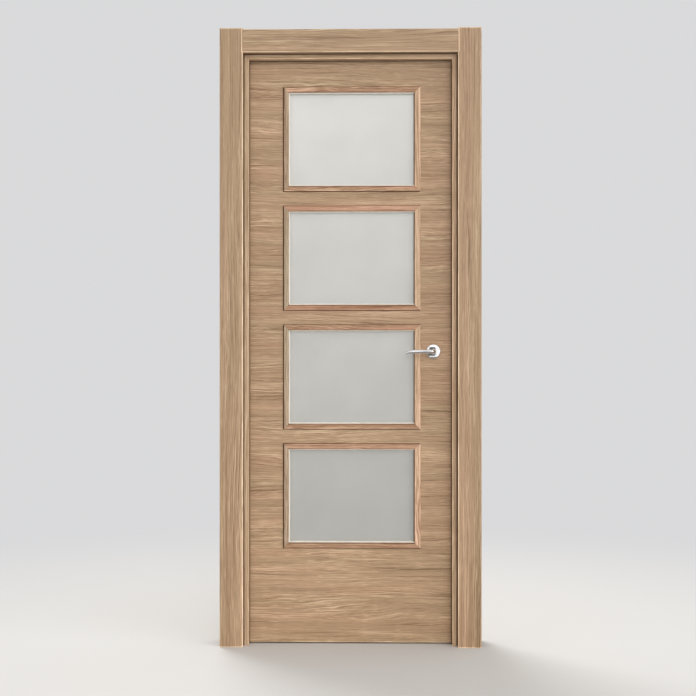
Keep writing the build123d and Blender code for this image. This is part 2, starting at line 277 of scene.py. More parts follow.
class MaterialRecipe(Recipe):
    """The node tree of one named material."""

    def __init__(self, name: str) -> None:
        """Make the material and start its tree."""
        self.material = bpy.data.materials.new(name)
        self.material.use_nodes = True
        super().__init__(self.material.node_tree)

    def surface(self, **sockets: Operand) -> bpy.types.Material:
        """Close the recipe with a Principled surface.

        Args:
            sockets: The shader's sockets in small letters, with underscores for spaces.

        Returns:
            The finished material.
        """
        inputs = {}
        for name, value in sockets.items():
            inputs[name.replace("_", " ").title().replace("Ior", "IOR")] = value
        shader = self.node("ShaderNodeBsdfPrincipled", inputs=inputs)
        return self.close(shader)

    def close(self, shader: Signal) -> bpy.types.Material:
        """Join a shader to the material's output."""
        self.node("ShaderNodeOutputMaterial", inputs={"Surface": shader})
        return self.material


class Grain(Enum):
    """Which way a piece's fibres run."""

    LEVEL = "level"
    UPRIGHT = "upright"
    BEADED = "beaded"


@dataclass(frozen=True)
class LightGrid:
    """Where the door's lights are, for fibres that turn the corners of their beads."""

    centre_x: float
    lowest_z: float
    pitch: float
    half_width: float
    half_height: float

    @classmethod
    def from_frame(cls) -> "LightGrid":
        """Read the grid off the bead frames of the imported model."""
        low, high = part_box(f"front_bead_frame_{LIGHT_COUNT}")
        above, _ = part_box(f"front_bead_frame_{LIGHT_COUNT - 1}")
        middle = (low + high) / 2
        half = (high - low) / 2
        return cls(middle.x, middle.z, above.z - low.z, half.x, half.z)

    def from_middles(self, recipe: "Recipe") -> Tuple["Signal", "Signal"]:
        """How far a point lies from the middle of its own light.

        Args:
            recipe: The material that asks.

        Returns:
            The distances along X and Z, in metres.
        """
        x = recipe.place()
        half_pitch = self.pitch / 2
        level = (x.output("Z") - (self.lowest_z - half_pitch)) % self.pitch - half_pitch
        return x - self.centre_x, level


@dataclass(frozen=True)
class BySide:
    """One number for each side of a light."""

    left: float = 0.0
    right: float = 0.0
    above: float = 0.0
    below: float = 0.0


@dataclass
class BeadPlace:
    """Where a point lies on a mitred bead frame: on which stick, and how far in from its edge."""

    upright: Signal
    on_right: Signal
    on_top: Signal
    inwards: Signal

    @classmethod
    def of(cls, recipe: Recipe, grid: LightGrid) -> "BeadPlace":
        """Work the place out from the lights.

        Args:
            recipe: The bead's material.
            grid: The lights that the beads run round.

        Returns:
            The place, as signals.
        """
        side, level = grid.from_middles(recipe)
        from_side = grid.half_width - abs(side)
        from_level = grid.half_height - abs(level)
        return cls(from_level > from_side, side > 0.0, level > 0.0, from_side.math("MINIMUM", from_level))

    def choose(self, sides: BySide) -> Signal:
        """The number that belongs to the point's own stick."""
        upright = self.on_right * (sides.right - sides.left) + sides.left
        level = self.on_top * (sides.above - sides.below) + sides.below
        return self.upright * (upright - level) + level


@dataclass(frozen=True)
class PaintedBeadLight:
    """A band of painted light or painted shade along a bead frame, between two distances from its outer edge,
    as strong as its side sets.
    """

    tint: Colour
    start: float
    end: float
    strength: BySide
    blur: float = 0.0012

    def paint(self, recipe: Recipe, place: BeadPlace, colour: Signal) -> Signal:
        """Paint the band.

        Args:
            recipe: The bead's material.
            place: The point's place on its bead frame.
            colour: The wood's colour.

        Returns:
            The colour with the painted light or shade on it.
        """
        begun = place.inwards.ramp(self.start - self.blur, self.start)
        ended = place.inwards.ramp(self.end, self.end + self.blur)
        return recipe.multiply(begun * (1 - ended) * place.choose(self.strength), colour, self.tint)


@dataclass(frozen=True)
class QuirkShade:
    """Painted shade in a groove that runs along a board, outside a reach from a middle line."""

    middle: float
    reach: float
    tint: Colour = (0.20, 0.12, 0.06)
    blur: float = 0.0004

    def paint(self, recipe: Recipe, across: Signal, colour: Signal) -> Signal:
        """Paint shade into the groove.

        Args:
            recipe: The board's material.
            across: The way across its fibres.
            colour: The wood's colour.

        Returns:
            The colour with painted shade in the groove.
        """
        outside = abs(across - self.middle).ramp(self.reach - self.blur, self.reach + self.blur)
        return recipe.multiply(outside, colour, self.tint)


@dataclass(frozen=True)
class JointHighlight:
    """A painted highlight down a side casing, beside where the head casing butts against it."""

    edge: float
    foot: float
    share: float
    width: float = 0.0056
    blur: float = 0.0010

    def line(self, across: Signal, height: Signal) -> Signal:
        """How strong the painted highlight is.

        Args:
            across: The way across the side casing.
            height: The way up it.

        Returns:
            The line's share beside the joint, and nought elsewhere.
        """
        beside = 1 - abs(across - self.edge).ramp(self.width, self.width + self.blur)
        return beside * height.ramp(self.foot - self.blur, self.foot) * self.share


@dataclass
class FibreSpace:
    """A board's own directions: along its fibres, across them on the face, and through its thickness."""

    recipe: Recipe
    along: Signal
    across: Signal
    through: Signal

    @classmethod
    def of(cls, recipe: Recipe, grain: Grain, grid: LightGrid, seed: float) -> "FibreSpace":
        """Lay the directions for one kind of grain.

        Args:
            recipe: The material that they belong to.
            grain: Which way the fibres run.
            grid: The lights, for beads that are mitred round them.
            seed: How deep in the log the board was cut, in metres.

        Returns:
            The directions as signals.
        """
        x = recipe.place()
        y, z = x.output("Y") + seed, x.output("Z")
        if grain is Grain.LEVEL:
            return cls(recipe, x, z, y)
        if grain is Grain.UPRIGHT:
            return cls(recipe, z, x, y)
        turn = BeadPlace.of(recipe, grid).upright * (z - x)
        return cls(recipe, x + turn, z - turn, y)

    def stretched(self, length: float) -> "FibreSpace":
        """The same directions with all figure drawn out along the fibres by a factor."""
        return FibreSpace(self.recipe, self.along * (1 / length), self.across, self.through)

    def shifted(self, amount: Signal) -> "FibreSpace":
        """The same directions with the fibres pushed sideways by an amount in metres."""
        return FibreSpace(self.recipe, self.along, self.across + amount, self.through)

    def noise(self, along: float, across: float, detail: float = 2.0, seed: float = 0.0) -> Signal:
        """Noise drawn out along the fibres.

        Args:
            along: Cells to the metre along the fibres.
            across: Cells to the metre across them.
            detail: How many finer octaves it has.
            seed: Which of many like patterns it is.

        Returns:
            The noise, about zero.
        """
        deep = self.through * across + seed
        place = self.recipe.vector(self.along * along + seed, self.across * across, deep)
        return self.recipe.noise(place, detail) - 0.5


@dataclass(frozen=True)
class FibreLayer:
    """One scale of figure: cells to the metre along and across the fibres, and how much it shows."""

    along: float
    across: float
    weight: float = 1.0
    detail: float = 2.0
    seed: float = 0.0
    crest: Range = (0.0, 1.0)

    def read(self, fibres: FibreSpace) -> Signal:
        """The layer's noise at its weight, about zero."""
        return fibres.noise(self.along, self.across, self.detail, self.seed) * self.weight

    def peaks(self, fibres: FibreSpace) -> Signal:
        """Only the noise's crests, at the layer's weight: nought under the crest's range, full over it."""
        return fibres.noise(self.along, self.across, self.detail, self.seed).ramp(*self.crest) * self.weight


@dataclass(frozen=True)
class OakFinish:
    """Satin-lacquered oak: soft bands, growth lines, fibres, pores, pale flecks and some dark streaks."""

    name: str
    grain: Grain
    tone: Colour = (0.396, 0.264, 0.153)
    blush: Colour = (0.408, 0.256, 0.151)
    seed: float = 0.0
    knots: float = 0.0
    knot_tone: Colour = (0.215, 0.112, 0.060)
    contrast: float = 0.94
    length: float = 1.0
    dark: Colour = (0.52, 0.46, 0.39)
    pale: Colour = (1.50, 1.62, 1.78)
    sheen: float = 0.34
    roughness: float = 0.48
    growth_gloss: float = 0.30
    pore_dulling: float = 0.12
    line_relief: float = 0.4
    thread_relief: float = 1.6
    pore_relief: float = 0.8
    streak_relief: float = 0.3
    relief_strength: float = 0.35
    relief_depth: float = 0.0004
    # Painted highlights: the arris fields light the rounded arrises, the end fields draw a highlight line
    # along each end, and the joint draws one beside the head joint.
    arris_turn: Range = (0.004, 0.06)
    arris_highlight: Colour = (2.20, 2.50, 2.85)
    outer_arris: float = 0.25
    opening_middle: float = 0.0
    ends: Tuple[float, ...] = ()
    end_width: float = 0.0024
    end_blur: float = 0.0016
    end_share: float = 0.5
    # Painted light: the wood is paler towards the foot.
    foot_pale: Colour = (1.0, 1.0, 1.0)
    foot_rise: Range = (0.0, 1.0)
    # Painted shade in the groove beside a stop.
    quirk: Optional[QuirkShade] = None
    joint: Optional[JointHighlight] = None
    # Painted light and shade along the bead frames.
    bead_light_and_shade: Tuple[PaintedBeadLight, ...] = ()
    bands: FibreLayer = FibreLayer(1.2, 30.0, 0.50)
    growth: FibreLayer = FibreLayer(2.6, 95.0, 0.45)
    lines: FibreLayer = FibreLayer(5.0, 460.0, 1.35)
    threads: FibreLayer = FibreLayer(26.0, 800.0, 1.05, 1.0)
    dark_lines: FibreLayer = FibreLayer(3.0, 440.0, 0.50, 1.0, 31.7, (0.06, 0.22))
    pale_lines: FibreLayer = FibreLayer(5.5, 460.0, 0.56, 1.0, 57.3, (0.06, 0.20))
    clusters: FibreLayer = FibreLayer(2.0, 22.0, 1.0, 1.0, 12.9)
    lively_rise: Range = (-0.22, 0.22)
    lively_least: float = 0.4
    lively_gain: float = 0.9
    dark_fade: Range = (-0.08, 0.14)
    pale_rise: Range = (-0.12, 0.10)
    sway: FibreLayer = FibreLayer(2.4, 9.0, 0.030)
    arch: FibreLayer = FibreLayer(1.1, 13.0, 0.055, 0.0)
    ripple: FibreLayer = FibreLayer(11.0, 45.0, 0.007, 1.0)
    pores: FibreLayer = FibreLayer(80.0, 1700.0, 1.0, 0.0, crest=(0.10, 0.22))
    pore_weight: float = 0.10
    flecks: FibreLayer = FibreLayer(26.0, 260.0, 0.16, 0.0, crest=(0.12, 0.24))
    streak_paths: FibreLayer = FibreLayer(0.8, 42.0, 38.0, 1.0)
    streak_runs: FibreLayer = FibreLayer(1.7, 18.0, 1.0, 1.0, crest=(0.02, 0.16))
    streak_weight: float = 0.24
    blush_patches: FibreLayer = FibreLayer(0.7, 15.0, crest=(-0.12, 0.16))
    knot_spots: FibreLayer = FibreLayer(13.0, 60.0, 1.0, 1.0, crest=(0.20, 0.27))
    ring_count: float = 88.0
    ring_drift: FibreLayer = FibreLayer(0.9, 24.0, 9.0)
    ring_wobble: FibreLayer = FibreLayer(4.0, 60.0, 1.6)
    ring_runs: FibreLayer = FibreLayer(1.5, 20.0, 0.12, 1.0, crest=(-0.12, 0.16))
    late_rise: Range = (0.35, 0.88)
    late_end: Range = (0.90, 1.0)

    def shade(self, share: Colour) -> Colour:
        """The mean tone made darker or lighter, channel by channel."""
        return tuple(channel * factor for channel, factor in zip(self.tone, share))

    def rings(self, fibres: FibreSpace) -> Signal:
        """Late wood of the growth rings: each darkens slowly and stops short, and some fade out.

        Args:
            fibres: The board's directions.

        Returns:
            How dark the late wood is.
        """
        count = fibres.across * self.ring_count + self.ring_drift.read(fibres) + self.ring_wobble.read(fibres)
        saw = count % 1.0
        late = saw.ramp(*self.late_rise) * (1 - saw.ramp(*self.late_end))
        return late * self.ring_runs.peaks(fibres)

    def arrises(self, recipe: Recipe, across: Signal) -> Signal:
        """Painted highlight on a rounded arris: where the surface's own normal lies between the board's main
        directions.

        Args:
            recipe: The board's material.
            across: The way across its fibres.

        Returns:
            How strong the painted highlight is: full where the arris faces the opening, less on the board's
                outer side.
        """
        normal = recipe.node("ShaderNodeTexCoord", output="Normal")
        x = recipe.node("ShaderNodeSeparateXYZ", inputs={0: normal})
        z = x.output("Z")
        main = abs(x).math("MAXIMUM", abs(x.output("Y"))).math("MAXIMUM", abs(z))
        sideways = x if self.grain is Grain.UPRIGHT else z
        inner = (self.opening_middle - across) * sideways > 0.0
        return (1 - main).ramp(*self.arris_turn) * (inner * (1 - self.outer_arris) + self.outer_arris)

    def edges(self, recipe: Recipe, across: Signal) -> Signal:
        """Where painted highlights go: on rounded arrises, in a line along each end, and beside the head
        joint.
        """
        pale = self.arrises(recipe, across)
        height = recipe.place().output("Z")
        for end in self.ends:
            line = 1 - abs(height - end).ramp(self.end_width, self.end_width + self.end_blur)
            pale = pale.math("MAXIMUM", line * self.end_share)
        if self.joint:
            pale = pale.math("MAXIMUM", self.joint.line(across, height))
        return pale

    def fine_figure(self, fibres: FibreSpace, fine: Signal) -> Signal:
        """Fine figure, lively in clusters, with dark lines in the calm wood and pale ones in the lively.

        Args:
            fibres: The board's directions.
            fine: Its lines and threads.

        Returns:
            The figure, about zero.
        """
        clusters = self.clusters.read(fibres)
        lively = clusters.ramp(*self.lively_rise) * self.lively_gain + self.lively_least
        dark = self.dark_lines.peaks(fibres) * (1 - clusters.ramp(*self.dark_fade))
        pale = self.pale_lines.peaks(fibres) * clusters.ramp(*self.pale_rise)
        return fine * lively + pale - dark

    def paint(self, grid: LightGrid, straight: FibreSpace, fibres: FibreSpace, colour: Signal) -> Signal:
        """Change the wood's colour by place: blush, painted light at the foot, knots, painted light and shade
        on bead frames or painted highlights on the other boards, and painted shade in the quirk.

        Args:
            grid: The lights, for beads that are mitred round them.
            straight: The board's directions.
            fibres: The same, following its fibres.
            colour: The wood's colour.

        Returns:
            The colour as it is seen.
        """
        recipe = straight.recipe
        blush = tuple(b / t for b, t in zip(self.blush, self.tone))
        colour = recipe.multiply(self.blush_patches.peaks(straight), colour, blush)
        # Painted light: paler towards the foot.
        if max(self.foot_pale) > 1.0:
            low = 1 - recipe.place().output("Z").ramp(*self.foot_rise)
            colour = recipe.multiply(low, colour, self.foot_pale)
        if self.knots:
            colour = recipe.mix(self.knot_spots.peaks(fibres) * self.knots, colour, opaque(self.knot_tone))
        # Painted light and shade side by side on bead frames, painted highlights on the other boards.
        if self.grain is Grain.BEADED:
            place = BeadPlace.of(recipe, grid)
            for line in self.bead_light_and_shade:
                colour = line.paint(recipe, place, colour)
        else:
            # Painted highlights on the arrises, along the ends and beside the head joint.
            colour = recipe.multiply(self.edges(recipe, straight.across), colour, self.arris_highlight)
        # Painted shade in the quirk.
        return self.quirk.paint(recipe, straight.across, colour) if self.quirk else colour

    def material(self, grid: LightGrid) -> bpy.types.Material:
        """Write the finish.

        Args:
            grid: The lights, for beads that are mitred round them.

        Returns:
            The material.
        """
        recipe = MaterialRecipe(self.name)
        straight = FibreSpace.of(recipe, self.grain, grid, self.seed).stretched(self.length)
        drift = self.sway.read(straight) + self.arch.read(straight) + self.ripple.read(straight)
        fibres = straight.shifted(drift)
        growth = self.growth.read(fibres)
        lines = self.lines.read(fibres)
        threads = self.threads.read(fibres)
        pores = self.pores.peaks(fibres)
        streak_paths = 1 - abs(self.streak_paths.read(fibres))
        streaks = streak_paths.ramp(0.0, 1.0) * self.streak_runs.peaks(straight)
        figure = self.bands.read(fibres) + growth + self.fine_figure(fibres, lines + threads)
        marks = self.flecks.peaks(fibres) - self.rings(fibres)
        marks = marks - streaks * self.streak_weight - pores * self.pore_weight
        tone = 0.5 + self.contrast * (figure + marks)
        stops = ((0.0, self.shade(self.dark)), (0.5, self.tone), (1.0, self.shade(self.pale)))
        colour = recipe.node("ShaderNodeValToRGB", {"stops": stops}, {0: tone})
        raised = lines * self.line_relief + threads * self.thread_relief
        relief = raised - pores * self.pore_relief - streaks * self.streak_relief
        return recipe.surface(
            base_color=self.paint(grid, straight, fibres, colour),
            roughness=self.roughness - growth * self.growth_gloss + pores * self.pore_dulling,
            specular_ior_level=self.sheen,
            normal=recipe.bump(relief, self.relief_strength, self.relief_depth),
        )


@dataclass(frozen=True)
class FrostedGlassFinish:
    """Satin-etched glass: a pale scattering face with a soft glow through it."""

    name: str = "frosted_glass"
    tint: Colour = (0.715, 0.712, 0.680)
    through: float = 0.65
    etch_scale: Place = (900.0, 900.0, 900.0)
    etch_strength: float = 0.10
    etch_depth: float = 0.0002
    cloud_scale: Place = (7.0, 7.0, 7.0)
    cloud_range: Range = (-0.25, 0.25)
    cloud_tint: float = 0.03
    cloud_dulling: float = 0.08
    roughness: float = 0.42
    ior: float = 1.48

    def material(self) -> bpy.types.Material:
        """Write the finish and return the material."""
        recipe = MaterialRecipe(self.name)
        etch = recipe.speckle(self.etch_scale, 2.0)
        clouds = recipe.speckle(self.cloud_scale, 3.0)
        thick, thin = opaque(self.tint, 1 - self.cloud_tint), opaque(self.tint, 1 + self.cloud_tint)
        return recipe.surface(
            base_color=recipe.mix(clouds.ramp(*self.cloud_range), thick, thin),
            roughness=self.roughness + clouds * self.cloud_dulling,
            transmission_weight=self.through,
            ior=self.ior,
            normal=recipe.bump(etch, self.etch_strength, self.etch_depth),
        )


@dataclass(frozen=True)
class MetalFinish:
    """Bright or brushed metal, with faint smears or drawn lines in its polish."""

    name: str
    tint: Colour
    roughness: float
    smear: float
    drawn: float = 0.0
    smear_scale: Place = (60.0, 60.0, 60.0)
    smear_range: Range = (-0.2, 0.2)
    smear_tint: float = 0.96
    drawn_scale: Place = (3500.0, 3500.0, 60.0)
    drawn_depth: float = 0.0001

    def material(self) -> bpy.types.Material:
        """Write the finish and return the material."""
        recipe = MaterialRecipe(self.name)
        smears = recipe.speckle(self.smear_scale, 3.0)
        brushed = recipe.speckle(self.drawn_scale, 1.0)
        smeared = opaque(self.tint, self.smear_tint)
        return recipe.surface(
            base_color=recipe.mix(smears.ramp(*self.smear_range), smeared, opaque(self.tint)),
            metallic=1.0,
            roughness=self.roughness + smears * self.smear + brushed * self.drawn,
            normal=recipe.bump(brushed, self.drawn, self.drawn_depth),
        )


@dataclass(frozen=True)
class SoftFinish:
    """Rubber or silicone: dull and slightly grained, with painted shade on the chosen sides of a light, where
    a strip lies in its bead's shade.
    """

    name: str
    tint: Colour
    roughness: float
    sheen: float = 0.20
    painted_shade_tint: Colour = (0.19, 0.13, 0.085)
    painted_shade_sides: BySide = BySide()
    speckle_scale: Place = (1200.0, 1200.0, 1200.0)
    speckle_dulling: float = 0.15
    speckle_strength: float = 0.25
    speckle_depth: float = 0.0002
    cloud_scale: Place = (40.0, 40.0, 12.0)
    cloud_range: Range = (-0.2, 0.2)
    cloud_tint: float = 0.88

    def material(self, grid: LightGrid) -> bpy.types.Material:
        """Write the finish.

        Args:
            grid: The lights, for strips that run round them.

        Returns:
            The material.
        """
        recipe = MaterialRecipe(self.name)
        speckle = recipe.speckle(self.speckle_scale, 1.0)
        clouds = recipe.speckle(self.cloud_scale, 2.0)
        clouded = opaque(self.tint, self.cloud_tint)
        tint = recipe.mix(clouds.ramp(*self.cloud_range), clouded, opaque(self.tint))
        # Painted shade on the sides of a light whose strips lie in their bead's shade.
        if self.painted_shade_sides != BySide():
            tint = recipe.multiply(BeadPlace.of(recipe, grid).choose(self.painted_shade_sides), tint, self.painted_shade_tint)
        return recipe.surface(
            base_color=tint,
            roughness=self.roughness + speckle * self.speckle_dulling,
            specular_ior_level=self.sheen,
            normal=recipe.bump(speckle, self.speckle_strength, self.speckle_depth),
        )


class Workbench:
    """Hand moves that several pieces share: selecting, editing, placing and joining."""

    @staticmethod
    def deselect_all() -> None:
        """Leave nothing selected and nothing active."""
        for item in bpy.context.selected_objects:
            item.select_set(False)
        bpy.context.view_layer.objects.active = None

    @staticmethod
    def select(*items: bpy.types.Object) -> None:
        """Select some objects only, the first of them active."""
        Workbench.deselect_all()
        for item in items:
            item.select_set(True)
        bpy.context.view_layer.objects.active = items[0]

    @staticmethod
    @contextmanager
    def editing(item: bpy.types.Object) -> Iterator[None]:
        """Edit one object's mesh, with nothing in it selected at first."""
        Workbench.select(item)
        bpy.ops.object.mode_set(mode="EDIT")
        bpy.ops.mesh.select_mode(type="FACE")
        bpy.ops.mesh.select_all(action="DESELECT")
        yield
        bpy.ops.object.mode_set(mode="OBJECT")

    @staticmethod
    def pick_faces(test: Callable[[Vector, Vector], bool]) -> None:
        """Select the faces of the mesh in edit mode whose middle and normal pass a test."""
        mesh = bpy.context.edit_object.data
        shape = bmesh.from_edit_mesh(mesh)
        for face in shape.faces:
            face.select_set(test(face.calc_center_median(), face.normal))
        bmesh.update_edit_mesh(mesh)

    @staticmethod
    def pick_edges(test: Callable[[Vector, Vector], bool]) -> None:
        """Select the edges of the mesh in edit mode whose two ends pass a test."""
        bpy.ops.mesh.select_mode(type="EDGE")
        mesh = bpy.context.edit_object.data
        shape = bmesh.from_edit_mesh(mesh)
        for edge in shape.edges:
            edge.select_set(test(edge.verts[0].co, edge.verts[1].co))
        bmesh.update_edit_mesh(mesh)

    @staticmethod
    def apply_place(item: bpy.types.Object) -> None:
        """Put an object's place, turn and size into its mesh."""
        Workbench.select(item)
        bpy.ops.object.transform_apply(location=True, rotation=True, scale=True)

    @staticmethod
    def apply_modifiers(item: bpy.types.Object) -> None:
        """Apply every modifier of an object, in order."""
        Workbench.select(item)
        for modifier in list(item.modifiers):
            bpy.ops.object.modifier_apply(modifier=modifier.name)

    @staticmethod
    def cut(item: bpy.types.Object, cutter: bpy.types.Object) -> None:
        """Cut one object out of another and throw the cutter away."""
        knife = item.modifiers.new("cut", "BOOLEAN")
        knife.operation = "DIFFERENCE"
        knife.solver = "EXACT"
        knife.object = cutter
        Workbench.apply_modifiers(item)
        bpy.data.objects.remove(cutter)

    @staticmethod
    def copies(pattern: bpy.types.Object, places: Sequence[Vector], name: str) -> bpy.types.Object:
        """Copy a pattern to several places and join the copies into one piece.

        Args:
            pattern: The modelled object, at the origin.
            places: Where the copies go.
            name: The joined piece's name.

        Returns:
            The joined piece, with its places in its mesh.
        """
        made: List[bpy.types.Object] = []
        for place in places:
            Workbench.select(pattern)
            bpy.ops.object.duplicate(linked=False)
            copy = bpy.context.object
            copy.location = place
            Workbench.apply_place(copy)
            made.append(copy)
        Workbench.select(*made)
        if len(made) > 1:
            bpy.ops.object.join()
        joined = bpy.context.object
        joined.name = name
        joined.data.name = name
        return joined

    @staticmethod
    def open_frame(
        name: str, place: Place, size: Tuple[float, float], turn: float, width: float, depth: float,
    ) -> bpy.types.Object:
        """Model a flat frame round an opening, of a square-edged strip.

        Args:
            name: The frame's name.
            place: The middle of its back.
            size: Its outer width and height.
            turn: Its turn about X from lying flat, which points its front.
            width: How wide the strip is.
            depth: How deep the strip is.

        Returns:
            The frame, with its place in its mesh.
        """
        Workbench.deselect_all()
        bpy.ops.mesh.primitive_plane_add(size=1.0, location=place, rotation=(turn, 0.0, 0.0))
        made = bpy.context.object
        made.name = name
        made.scale = (*size, 1.0)
        Workbench.apply_place(made)
        with Workbench.editing(made):
            bpy.ops.mesh.select_all(action="SELECT")
            bpy.ops.mesh.inset(thickness=width, use_even_offset=True)
            bpy.ops.mesh.delete(type="FACE")
        wall = made.modifiers.new("wall", "SOLIDIFY")
        wall.thickness = depth
        wall.offset = 1.0
        Workbench.apply_modifiers(made)
        return made

    @staticmethod
    def point_outwards() -> None:
        """Turn all faces of the mesh in edit mode outwards."""
        bpy.ops.mesh.select_all(action="SELECT")
        bpy.ops.mesh.normals_make_consistent(inside=False)

    @staticmethod
    def finish(
        item: bpy.types.Object, material: bpy.types.Material, body: str, slot: Optional[str] = None,
    ) -> None:
        """Dress a new piece and hang it on its body.

        Args:
            item: The piece.
            material: Its finish.
            body: The body that it moves with.
            slot: The record's material slot, where it has one; not used.
        """
        item.data.materials.clear()
        item.data.materials.append(material)
        Workbench.select(item)
        bpy.ops.object.shade_smooth_by_angle(angle=SMOOTH_ANGLE)
        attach(item, body)
        log.info("made %s on %s", item.name, body)


def dress(material: bpy.types.Material, *names: str) -> None:
    """Give CAD pieces a finish.

    Args:
        material: The finish.
        names: The nodes that take it.
    """
    for name in names:
        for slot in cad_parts[name].material_slots:
            slot.material = material
        log.info("dressed %s in %s", name, material.name)


@dataclass
class DoorFrame:
    """Lining, stops, casings and weather strip."""

    grid: LightGrid
    tone: Colour = (0.382, 0.258, 0.152)
    blush: Colour = (0.396, 0.250, 0.150)
    # Painted light: the stops take a lighter copy of the boards' oak, making up for the shade of their recess
    # behind the casings.
    stop_tone: Colour = (0.510, 0.360, 0.232)
    stop_blush: Colour = (0.524, 0.351, 0.228)
    stop_sheen: float = 0.08
    # Painted highlight on the arrises, set side by side for the casings, the rear casings and the stops.
    left_arris: Colour = (2.15, 2.45, 2.80)
    right_arris: Colour = (2.45, 2.80, 3.20)
    head_arris: Colour = (2.15, 2.45, 2.80)
    rear_arris: Colour = (1.35, 1.42, 1.50)
    left_stop_arris: Colour = (1.15, 1.18, 1.20)
    right_stop_arris: Colour = (1.70, 1.76, 1.82)
    head_stop_arris: Colour = (1.80, 1.88, 1.96)
    left_seed: float = 0.31
    right_seed: float = 0.47
    head_seed: float = 0.67
    figure_length: float = 1.5
    contrast: float = 0.95
    # Painted light: the frame's oak is paler towards the foot.
    foot_pale: Colour = (1.08, 1.08, 1.08)
    foot_rise: Range = (0.0, 1.2)
    # Painted highlight beside the head joint, stronger on the left.
    left_joint: float = 0.80
    right_joint: float = 0.35
    bands: FibreLayer = FibreLayer(1.2, 30.0, 0.30)
    growth: FibreLayer = FibreLayer(2.6, 95.0, 0.40)
    # Painted shade in the groove between each stop and its casing: narrower at the head, wider and darker on
    # the strike side.
    quirk_width: float = 0.003
    head_quirk_width: float = 0.0015
    strike_quirk_width: float = 0.0036
    strike_quirk_shade: Colour = (0.12, 0.06, 0.02)
    seal: SoftFinish = SoftFinish("seal_rubber", (0.105, 0.062, 0.036), 0.62, sheen=0.06)
    lip_width: float = 0.0019
    lip_root: float = 0.0010
    lip_depth: float = 0.0026
    lip_round: float = 0.0007

    def dress(self) -> None:
        """Finish each jamb and the head with their fibres along their length."""
        left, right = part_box("hinge_jamb")[1].x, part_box("strike_jamb")[0].x
        middle = (left + right) / 2
        half = (right - left) / 2
        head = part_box("head_jamb")[0].z
        hinge_quirk = QuirkShade(middle, half - self.quirk_width)
        strike_quirk = QuirkShade(middle, half - self.strike_quirk_width, self.strike_quirk_shade)
        head_quirk = QuirkShade(0.0, head - self.head_quirk_width)
        self.dress_side("hinge", "left", Grain.UPRIGHT, self.left_seed, hinge_quirk,
                        self.left_arris, self.left_stop_arris)
        self.dress_side("strike", "right", Grain.UPRIGHT, self.right_seed, strike_quirk,
                        self.right_arris, self.right_stop_arris)
        self.dress_side("head", "head", Grain.LEVEL, self.head_seed, head_quirk,
                        self.head_arris, self.head_stop_arris)
        dress(self.seal.material(self.grid), "door_seal")

    def build(self) -> None:
        """Run the seal's lip round the opening, in the corner between the stops and the closed leaf."""
        lip = self.model_seal_lip()
        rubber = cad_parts["door_seal"].material_slots[0].material
        Workbench.finish(lip, rubber, FRAME_BODY, "seal_rubber")

    def model_seal_lip(self) -> bpy.types.Object:
        """Model the lip: a thin three-sided strip with its inner edge rounded.

        Returns:
            The lip.
        """
        left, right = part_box("hinge_stop")[1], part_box("strike_stop")[0]
        reach = self.lip_root + self.lip_width
        width = right.x - left.x + 2 * self.lip_root
        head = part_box("head_stop")[0].z + self.lip_root
        height = head + 2 * reach
        middle_x = (left.x + right.x) / 2
        middle_z = head - height / 2
        place = (middle_x, left.y, middle_z)
        lip = Workbench.open_frame("seal_lip", place, (width, height), -math.pi / 2, reach, self.lip_depth)
        half_inner = width / 2 - reach / 2
        with Workbench.editing(lip):
            Workbench.pick_edges(lambda a, b: min(a.y, b.y) > left.y + self.lip_depth / 2
                                 and max(abs(a.x - middle_x), abs(b.x - middle_x)) < half_inner)
            bpy.ops.mesh.bevel(offset=self.lip_round, segments=3, affect="EDGES")
            bpy.ops.mesh.select_all(action="SELECT")
            bpy.ops.mesh.bisect(
                plane_co=(0.0, 0.0, 0.0), plane_no=(0.0, 0.0, 1.0), use_fill=True, clear_inner=True,
            )
            Workbench.point_outwards()
        return lip

    def dress_side(
        self,
        jamb: str,
        side: str,
        grain: Grain,
        seed: float,
        quirk: QuirkShade,
        arris: Colour,
        stop_arris: Colour,
    ) -> None:
        """Finish one side of the doorway: its lining, its stop and its two casings.

        Args:
            jamb: What its lining and stop are called.
            side: What its casings are called.
            grain: Which way its fibres run.
            seed: How deep in the log its boards were cut.
            quirk: The painted shade in the groove between its stop and its casing.
            arris: How strong the painted highlight on its casings' arrises is.
            stop_arris: How strong the painted highlight on its stop's arris is.
        """
        foot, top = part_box(f"front_casing_{side}")
        ends, joint = (), None
        # Upright casings get painted highlight lines along both ends and beside the head joint.
        if grain is Grain.UPRIGHT:
            ends = (foot.z, top.z)
            head_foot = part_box("front_casing_head")[0].z
            on_left = top.x < quirk.middle
            joint = JointHighlight(top.x if on_left else foot.x, head_foot,
                                self.left_joint if on_left else self.right_joint)
        figure = dict(seed=seed, length=self.figure_length, contrast=self.contrast, bands=self.bands,
                      growth=self.growth, opening_middle=quirk.middle, foot_pale=self.foot_pale,
                      foot_rise=self.foot_rise)
        board = OakFinish(f"oak_{jamb}_boards", grain, self.tone, self.blush, arris_highlight=arris, ends=ends,
                          joint=joint, **figure)
        stop = OakFinish(f"oak_{jamb}_stop", grain, self.stop_tone, self.stop_blush, arris_highlight=stop_arris,
                         quirk=quirk, sheen=self.stop_sheen, **figure)
        rear_board = replace(board, name=f"oak_{jamb}_rear_boards", arris_highlight=self.rear_arris)
        dress(board.material(self.grid), f"{jamb}_jamb", f"front_casing_{side}")
        dress(rear_board.material(self.grid), f"rear_casing_{side}")
        dress(stop.material(self.grid), f"{jamb}_stop")


